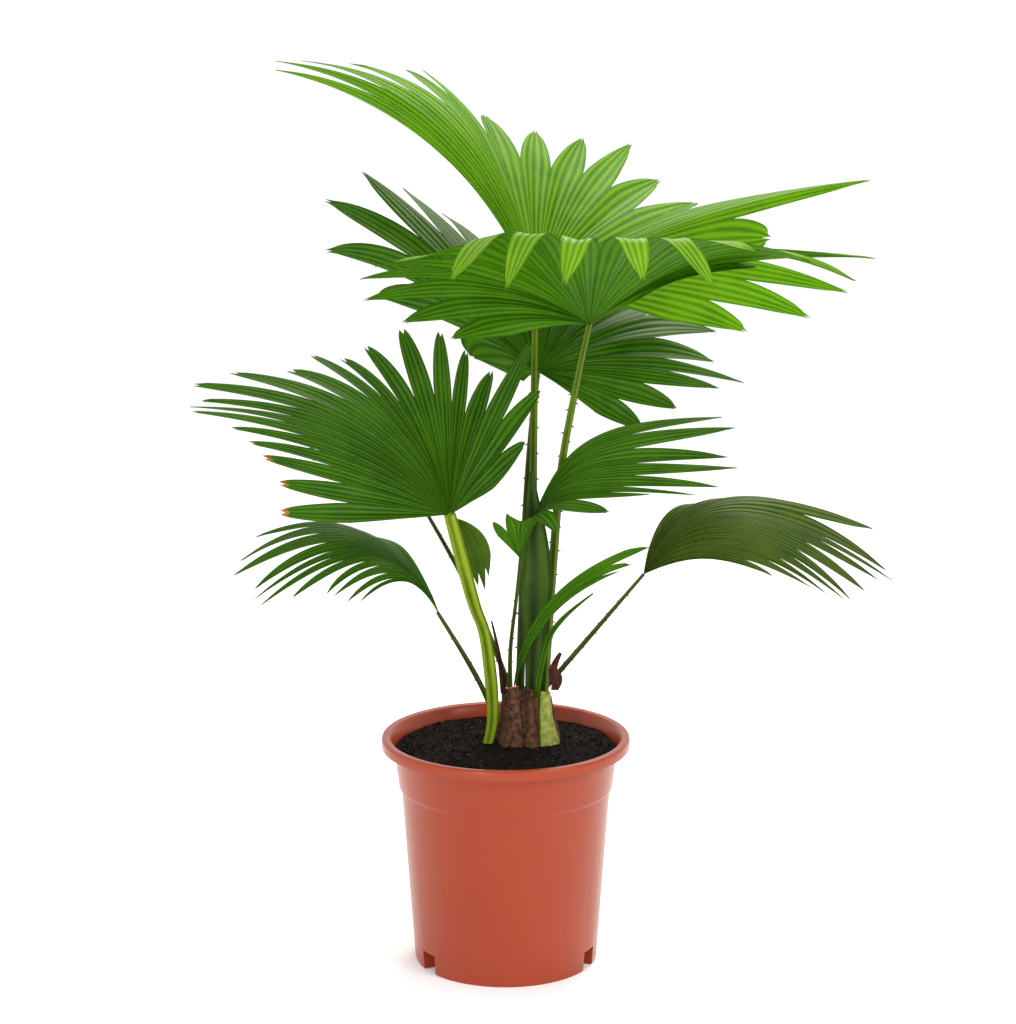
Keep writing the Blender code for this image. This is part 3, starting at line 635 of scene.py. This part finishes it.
def stalk(name, knots, widths, finish, flatness=0.8, flutes=0.06, flute_count=5,
          spines=0, spine_length=3.0):
    """Sweep a fluted oval along a path from a level foot, with spines along its two edges."""
    path = smooth_path(knots, STALK_STATIONS)
    along = np.linspace(0.0, 1.0, STALK_STATIONS)
    radii = np.interp(along, np.linspace(0.0, 1.0, len(widths)), widths)
    ahead = np.gradient(path, axis=0)
    across = Vector((1.0, 0.0, 0.0))
    points, uvs = [], []
    frames = []
    for step, (place, forward, radius) in enumerate(zip(path, ahead, radii)):
        forward = Vector(forward).normalized()
        across = (across - forward * across.dot(forward)).normalized()
        up = forward.cross(across)
        frames.append((Vector(place), forward, across.copy(), up, radius))
        for k in range(STALK_SIDES):
            angle = 2.0 * math.pi * k / STALK_SIDES
            ripple = 1.0 - flutes * (0.5 + 0.5 * math.cos(flute_count * angle + math.pi))
            offset = (across * (radius * ripple * math.cos(angle))
                      + up * (radius * ripple * flatness * math.sin(angle)))
            points.append(tuple(Vector(place) + offset))
            uvs.append((k / STALK_SIDES, step / STALK_STATIONS))
    for k in range(STALK_SIDES):
        points[k] = (points[k][0], points[k][1], float(knots[0][2]))
    faces = [tuple(reversed(range(STALK_SIDES))), tuple(range(len(points) - STALK_SIDES, len(points)))]
    for ring in range(STALK_STATIONS - 1):
        for k in range(STALK_SIDES):
            a = ring * STALK_SIDES + k
            b = ring * STALK_SIDES + (k + 1) % STALK_SIDES
            faces.append((a, b, b + STALK_SIDES, a + STALK_SIDES))
    chance = np.random.default_rng(SPINE_SEED)
    for k in range(spines):
        step = int(STALK_STATIONS * (SPINE_FROM + SPINE_SPAN * (k + 0.5 * chance.uniform()) / spines))
        place, forward, across, up, radius = frames[step]
        edge = 1.0 if k % 2 else -1.0
        foot = place + across * (edge * radius * 0.9)
        out = edge * spine_length * chance.uniform(0.7, 1.1)
        tip = foot + across * out - forward * spine_length * 0.5
        base = len(points)
        for j in range(SPINE_SIDES):
            angle = 2.0 * math.pi * j / SPINE_SIDES
            points.append(tuple(foot + forward * (SPINE_FOOT_LONG * math.cos(angle))
                                + up * (SPINE_FOOT_WIDE * math.sin(angle))))
            uvs.append((0.0, 0.0))
        points.append(tuple(tip))
        uvs.append((0.0, 0.0))
        for j in range(SPINE_SIDES):
            faces.append((base + j, base + (j + 1) % SPINE_SIDES, base + SPINE_SIDES))
        faces.append(tuple(base + j for j in reversed(range(SPINE_SIDES))))
    solid = name.replace("_rod", "_stalk") if name.endswith("_rod") else name.replace("_shape", "")
    add_piece(name, points, faces, (finish,), (solid,), None, uvs)
    print(name, spines, "spines")


stalk("top_front_rod",
      ((32, 18, STALK_FOOT), (40, 15, 347), (46, 6, 423), (57, -9, 492), (68, -20.5, 548.5)),
      (4.5, 4.0, 3.6, 3.0, 2.6), STALK_GREEN, spines=26)
stalk("top_back_rod", ((22, 27, STALK_FOOT), (23, 40, 400), (24, 50, 490), (25, 60.3, 567)),
      (4.2, 3.8, 3.2, 2.8), STALK_GREEN, spines=24)
stalk("middle_rod", ((12, 31, STALK_FOOT), (18, 64, 390), (27.2, 82.5, 495)),
      (4.0, 3.4, 2.4), STALK_DARK, spines=14)
stalk("left_rod",
      ((-15, -2, SOIL_FOOT), (-11, -4, 222), (-17, -20, 286), (-27, -37, 322), (-45, -70.5, 401.5)),
      (4.5, 5.5, 5.0, 5.8, 5.0), STALK_PALE, flutes=0.16, flute_count=9)
stalk("low_left_rod", ((-13, 16, SOIL_FOOT), (-17, 8, 228), (-56.8, -12.2, 305.5)),
      (2.2, 2.4, 1.6), STALK_DARK, spines=5, spine_length=1.6)
stalk("low_right_rod", ((33, 28, STALK_FOOT), (50, 20, 251), (115.3, -0.2, 335.4)),
      (2.6, 2.2, 1.5), STALK_DARK, spines=14, spine_length=2.0)
stalk("right_rod", ((4, 12, STALK_FOOT), (4, 6, 270), (9, -4, 317), (12.1, -14.2, 352.4)),
      (2.2, 1.8, 1.6, 1.4), STALK_DARK, spines=8, spine_length=1.6)
stalk("rear_rod", ((4, 24, STALK_FOOT), (-30, 74, 300), (-78.3, 118.3, 378.3)),
      (2.6, 2.2, 1.6), STALK_DARK, spines=8, spine_length=1.6)

# %% [markdown]
# The youngest leaves and the dead bits are swept by the same rule, flatter: a narrow green strip,
# the spear that hasn't opened and is still folded, and two curled scraps of dead leaf.

# %% Strip, spear and dead bits
stalk("narrow_strip_shape", ((26, 4, STALK_FOOT), (34, -6, 275), (46, -18, 300), (72, -30, 326)),
      (2.4, 2.6, 2.4, 0.8), LEAF_TOP, flatness=0.35)
# The spear is darkened with painted shade.
stalk("spear_leaf_shape",
      ((22, 12, STALK_FOOT), (24, 6, 275), (25, 0, 347), (23, -4, 385), (21, -6, 424)),
      (6.0, 8.5, 15.0, 9.5, 1.6), SPEAR_IN_PAINTED_SHADE, flatness=0.28, flutes=0.22, flute_count=11)
stalk("dead_spike_shape", ((-2, 14, STALK_FOOT), (-6, 14, 262), (-12, 12, 292)),
      (3.0, 2.0, 0.8), DEAD_LEAF, flatness=0.5, flutes=0.3)
stalk("dead_leaf_shape", ((41, 4, 234), (43, 2, 243), (40, 0, 253), (46, -2, 268)),
      (3.0, 5.5, 3.0, 1.5), DEAD_LEAF, flatness=0.5, flutes=0.5, flute_count=4)

# %% [markdown]
# The stem is short and flared. Noise that changes quickly round it and slowly up it gives the
# relief of upright fibres.

# %% Stem
STEM_AXIS = (16.0, 18.0)
STEM_TOP = 228.0
STEM_FOOT = SOIL_FOOT
STEM_FLARE = 27.0
STEM_TOP_RADIUS = 20.0
SOIL_LEVEL = 186.0
BURIED = 2.5
BARK_SIDES = 96
BARK_ROWS = 24
BARK_DEPTH = 0.7
BARK_SEED = 3.0
BARK_SINK = 0.6


def stem_radius(height):
    """The flared stem's radius at a height."""
    share = (height - SOIL_LEVEL) / (STEM_TOP - SOIL_LEVEL)
    return STEM_TOP_RADIUS + (STEM_FLARE - STEM_TOP_RADIUS) * (1.0 - share) ** 2


def fibre(angle, height, seed, depth):
    """Relief of upright fibres: quick to change round the stem and slow to change up it."""
    return depth * noise.noise(Vector((angle * 14.0, height * 0.05, seed)))


def make_stem_bark():
    """The stem's own surface, with fibres."""
    sides, rows = BARK_SIDES, BARK_ROWS
    points, faces = [], []
    for row in range(rows):
        height = STEM_FOOT - BURIED + (STEM_TOP - STEM_FOOT + BURIED) * row / (rows - 1)
        for k in range(sides):
            angle = 2.0 * math.pi * k / sides
            radius = stem_radius(max(height, STEM_FOOT)) + fibre(angle, height, BARK_SEED, BARK_DEPTH)
            radius -= BARK_SINK
            points.append((STEM_AXIS[0] + radius * math.cos(angle),
                           STEM_AXIS[1] + radius * math.sin(angle), height))
    for row in range(rows - 1):
        for k in range(sides):
            n = (k + 1) % sides
            a = row * sides
            faces.append((a + k, a + n, a + sides + n, a + sides + k))
    faces.append(tuple((rows - 1) * sides + k for k in range(sides)))
    faces.append(tuple(sides - 1 - k for k in range(sides)))
    add_piece("stem_bark", points, faces, (HUSK,), ("stem",))


make_stem_bark()
print("stem dressed")

# %% [markdown]
# Old leaf bases wrap the stem: fibrous husks, ragged and sawn off at the top where the flesh has
# dried orange. Each is a curved plate that narrows upwards and bulges in its middle.

# %% Leaf bases
HUSK_COLUMNS = 28
HUSK_ROWS = 30
HUSK_TAPER = 0.45
HUSK_THINNING = 0.25
HUSK_LEAN = 0.12
HUSK_CLEARANCE = 0.2

def leaf_base(name, middle_deg, width_deg, top, thickness, slant, finish):
    """One old leaf base with fibres, ragged edges and an orange cut top."""
    columns, rows = HUSK_COLUMNS, HUSK_ROWS
    low = STEM_FOOT - BURIED
    points = []
    for layer in range(2):
        for row in range(rows):
            for column in range(columns):
                share = row / (rows - 1)
                across = column / (columns - 1) - 0.5
                ragged = 1.2 * noise.noise(Vector((column * 0.5, 0.0, middle_deg)))
                height = low + (top + slant * across + ragged - low) * share
                angle = math.radians(middle_deg + across * width_deg * (1.0 - HUSK_TAPER * share))
                bulge = thickness * (0.35 + 0.65 * math.cos(math.pi * across))
                bulge *= 1.0 - HUSK_THINNING * share
                bulge += fibre(angle, height, middle_deg, 1.0) if layer else 0.0
                stand = HUSK_CLEARANCE + max(0.0, height - STEM_TOP) * HUSK_LEAN
                radius = stem_radius(min(max(height, STEM_FOOT), STEM_TOP)) + stand + layer * bulge
                points.append((STEM_AXIS[0] + radius * math.cos(angle),
                               STEM_AXIS[1] + radius * math.sin(angle), height))
    faces, indices = [], []
    sheet = rows * columns
    for row in range(rows - 1):
        for column in range(columns - 1):
            a = row * columns + column
            faces.append((a, a + columns, a + 1 + columns, a + 1))
            faces.append((sheet + a, sheet + a + 1, sheet + a + 1 + columns, sheet + a + columns))
            indices.extend((0, 0))
    rim = ([(c, 0) for c in range(columns)] + [(r * columns + columns - 1, 0) for r in range(1, rows)]
           + [((rows - 1) * columns + c, 1) for c in range(columns - 2, -1, -1)]
           + [(r * columns, 0) for r in range(rows - 2, 0, -1)])
    for (a, _), (b, cut) in zip(rim, rim[1:] + rim[:1]):
        faces.append((a, b, b + sheet, a + sheet))
        indices.append(cut)
    add_piece(name + "_husk", points, faces, (finish, CUT_FACE), (name,), indices)


for base_name, bearing, width, top, thickness, slant, finish in (
    ("leaf_base_left", -117.0, 48.0, 238.0, 7.0, 3.0, HUSK),
    ("leaf_base_front", -77.0, 24.0, 236.0, 5.0, -2.0, HUSK),
    ("leaf_base_right", -35.0, 52.0, 232.0, 7.0, -3.0, GREEN_BASE),
    ("leaf_base_far_right", 22.0, 58.0, 222.0, 6.0, 3.0, HUSK),
    ("leaf_base_back", 88.0, 66.0, 223.0, 7.0, -4.0, HUSK),
    ("leaf_base_far_left", 148.0, 34.0, 216.0, 3.0, 2.0, GREEN_BASE),
):
    leaf_base(base_name, bearing, width, top, thickness, slant, finish)
print("leaf bases dressed")

# %% [markdown]
# The compost is a dark crumbly surface, a little crowned. Its relief comes from three sizes of
# noise, with lumps of about 17, 5 and 1.5 mm.

# %% Soil
SOIL_CROWN = 3.0
SOIL_RADIUS = 92.6
SOIL_SIDES = 220
SOIL_RINGS = 80
SKIRT_RADIUS = 84.0
SKIRT_FOOT = 140.0


def soil_height(x, y):
    """Height of the compost's surface, with its lumps."""
    share = math.hypot(x, y) / SOIL_RADIUS
    lumps = (1.3 * noise.noise(Vector((x, y, 0.0)) * 0.06)
             + 0.8 * noise.noise(Vector((x, y, 9.0)) * 0.22))
    fine = 0.5 * noise.noise(Vector((x, y, 4.0)) * 0.7)
    return SOIL_LEVEL + SOIL_CROWN * (1.0 - share**2) - 0.6 + lumps + fine


def make_compost():
    """A lumpy disc of compost with a skirt down inside the pot."""
    sides, rings = SOIL_SIDES, SOIL_RINGS
    points = [(0.0, 0.0, soil_height(0.0, 0.0))]
    faces = []
    for ring in range(1, rings + 1):
        radius = SOIL_RADIUS * ring / rings
        for k in range(sides):
            angle = 2.0 * math.pi * k / sides
            x, y = radius * math.cos(angle), radius * math.sin(angle)
            points.append((x, y, soil_height(x, y)))
    for k in range(sides):
        faces.append((0, 1 + k, 1 + (k + 1) % sides))
    for ring in range(rings - 1):
        for k in range(sides):
            n = (k + 1) % sides
            a = 1 + ring * sides
            faces.append((a + k, a + sides + k, a + sides + n, a + n))
    skirt = len(points)
    for k in range(sides):
        angle = 2.0 * math.pi * k / sides
        points.append((SKIRT_RADIUS * math.cos(angle), SKIRT_RADIUS * math.sin(angle), SKIRT_FOOT))
    edge = 1 + (rings - 1) * sides
    for k in range(sides):
        n = (k + 1) % sides
        faces.append((edge + k, skirt + k, skirt + n, edge + n))
    faces.append(tuple(skirt + k for k in reversed(range(sides))))
    add_piece("compost", points, faces, (COMPOST,), ("soil",))


make_compost()
print("compost dressed")

# %% [markdown]
# Loose crumbs and pale grit lie on the compost, each a lumpy bit with six corners.

# %% Crumbs and grit
CRUMB_CORNERS = ((1, 0, 0), (-1, 0, 0), (0, 1, 0), (0, -1, 0), (0, 0, 1), (0, 0, -1))
CRUMB_FACES = ((0, 2, 4), (2, 1, 4), (1, 3, 4), (3, 0, 4), (2, 0, 5), (1, 2, 5), (3, 1, 5), (0, 3, 5))
STEM_CLEARANCE = 33.0
RIM_CLEARANCE = 3.0

def scatter(name, count, low_size, high_size, finish, seed):
    """Crumbs: small lumpy six-cornered bits lying on the compost."""
    chance = np.random.default_rng(seed)
    points, faces = [], []
    while len(points) < count * len(CRUMB_CORNERS):
        angle = chance.uniform(0.0, 2.0 * math.pi)
        radius = (SOIL_RADIUS - RIM_CLEARANCE) * math.sqrt(chance.uniform())
        x, y = radius * math.cos(angle), radius * math.sin(angle)
        if math.hypot(x - STEM_AXIS[0], y - STEM_AXIS[1]) < STEM_CLEARANCE:
            continue
        size = chance.uniform(low_size, high_size)
        middle = np.array((x, y, soil_height(x, y) + 0.2 * size))
        base = len(points)
        for corner in CRUMB_CORNERS:
            points.append(middle + np.array(corner) * size * chance.uniform(0.5, 1.2, 3))
        for tri in CRUMB_FACES:
            faces.append(tuple(base + t for t in tri))
    add_piece(name, points, faces, (finish,))


scatter("compost_crumbs", 1600, 0.5, 1.6, COMPOST, 5)
scatter("compost_grit", 160, 0.3, 0.7, SPECK, 6)
print("crumbs and grit scattered")

# %% [markdown]
# The pot is turned from one profile, finely, so that its rim and shoulder catch the light as
# the moulded one does. Three drainage notches are cut into its foot. Below the compost the pot
# is filled, and its underside is left flat, without the ring and the drain holes of the solid.

# %% Pot
POT_HEIGHT = 196.0
RIM_RADIUS = 105.0
FOOT_RADIUS = 77.7
RIM_BAND = 9.5
SHOULDER = POT_HEIGHT - 43.0
POT_SIDES = 240
NOTCH_ANGLES = (-146.0, -26.0, 94.0)
NOTCH_WIDTH_DEG = 13.0
NOTCH_HEIGHT = 17.0
NOTCH_DEPTH = 13.0


def turned(profile, sides):
    """Points and faces of a closed profile turned round a vertical axis."""
    points, rings, faces = [], [], []
    for radius, height in profile:
        count = 1 if radius < 1e-6 else sides
        rings.append([len(points) + k for k in range(count)])
        for k in range(count):
            angle = 2.0 * math.pi * k / sides
            points.append((radius * math.cos(angle), radius * math.sin(angle), height))
    for lower, upper in zip(rings, rings[1:] + rings[:1]):
        if len(lower) == 1 and len(upper) == 1:
            continue
        for k in range(sides):
            n = (k + 1) % sides
            if len(lower) == 1:
                faces.append((lower[0], upper[n], upper[k]))
            elif len(upper) == 1:
                faces.append((lower[k], lower[n], upper[0]))
            else:
                faces.append((lower[k], lower[n], upper[n], upper[k]))
    return points, faces


def notch_cutter(middle_deg):
    """The block that cuts one drainage notch in the foot."""
    points = []
    for radius in (FOOT_RADIUS - NOTCH_DEPTH, FOOT_RADIUS + 10.0):
        for side in (-0.5, 0.5):
            angle = math.radians(middle_deg + side * NOTCH_WIDTH_DEG)
            for height in (-5.0, NOTCH_HEIGHT):
                points.append((radius * math.cos(angle) * MM, radius * math.sin(angle) * MM, height * MM))
    faces = [(0, 1, 3, 2), (4, 6, 7, 5), (0, 4, 5, 1), (2, 3, 7, 6), (0, 2, 6, 4), (1, 5, 7, 3)]
    mesh = bpy.data.meshes.new("notch")
    mesh.from_pydata(points, [], faces)
    cutter = bpy.data.objects.new("notch", mesh)
    bpy.context.collection.objects.link(cutter)
    return cutter


def make_pot():
    """The moulded pot with its rolled rim, stepped shoulder and notched foot."""
    band_foot = POT_HEIGHT - RIM_BAND
    rim = [(RIM_RADIUS - 2.2 + 2.2 * math.sin(a), POT_HEIGHT - 2.4 + 2.4 * math.cos(a))
           for a in np.radians(np.linspace(90.0, 0.0, 7))]
    profile = [
        (0.0, 0.0), (FOOT_RADIUS - 1.5, 0.0), (FOOT_RADIUS - 0.4, 0.4), (FOOT_RADIUS, 1.5),
        (88.3, SHOULDER - 3.0), (88.6, SHOULDER - 2.0), (90.2, SHOULDER - 0.4), (90.6, SHOULDER + 0.6),
        (94.4, band_foot - 2.0), (95.0, band_foot - 0.6), (96.4, band_foot), (RIM_RADIUS - 1.4, band_foot),
        (RIM_RADIUS - 0.4, band_foot + 0.4), (RIM_RADIUS, band_foot + 1.4), *rim,
        (RIM_RADIUS - 5.0, POT_HEIGHT - 0.1), (RIM_RADIUS - 6.6, POT_HEIGHT - 0.5),
        (RIM_RADIUS - 8.4, POT_HEIGHT - 2.4), (93.4, band_foot - 3.0), (89.2, SHOULDER),
        (87.0, SHOULDER - 2.0), (86.0, 139.0), (0.0, 138.0),
    ]
    points, faces = turned(profile, POT_SIDES)
    pot = add_piece("moulded_pot", points, faces, (POT_PLASTIC,), ("pot",), smooth=False)
    for angle in NOTCH_ANGLES:
        cutter = notch_cutter(angle)
        cut = pot.modifiers.new("Notch", "BOOLEAN")
        cut.operation = "DIFFERENCE"
        cut.solver = "MANIFOLD"
        cut.object = cutter
        bpy.context.view_layer.update()
        cut_pot = pot.evaluated_get(bpy.context.evaluated_depsgraph_get())
        result = bpy.data.meshes.new_from_object(cut_pot)
        pot.modifiers.remove(cut)
        pot.data = result
        bpy.data.objects.remove(cutter)
    pot.data.shade_smooth()
    pot.data.set_sharp_from_angle(angle=math.radians(30.0))


make_pot()
print("pot dressed")

# %% [markdown]
# The floor is a plain pale plane at the level of the pot's underside.

# %% Floor
FLOOR_SIDE = 6.0
floor_mesh = bpy.data.meshes.new("floor")
floor_mesh.from_pydata([(-FLOOR_SIDE, -FLOOR_SIDE, 0.0), (FLOOR_SIDE, -FLOOR_SIDE, 0.0),
                        (FLOOR_SIDE, FLOOR_SIDE, 0.0), (-FLOOR_SIDE, FLOOR_SIDE, 0.0)], [], [(0, 1, 2, 3)])
floor = bpy.data.objects.new("floor", floor_mesh)
bpy.context.collection.objects.link(floor)
paper, paper_tree, paper_output = fresh_material("Pale studio paper")
paper_body = add_node(paper_tree, "ShaderNodeBsdfPrincipled",
                      {"Base Color": linear("#FCFCFC"), "Roughness": 0.95})
paper_tree.links.new(paper_body.outputs["BSDF"], paper_output.inputs["Surface"])
floor_mesh.materials.append(paper)
print("floor laid,", 2.0 * FLOOR_SIDE, "m wide")
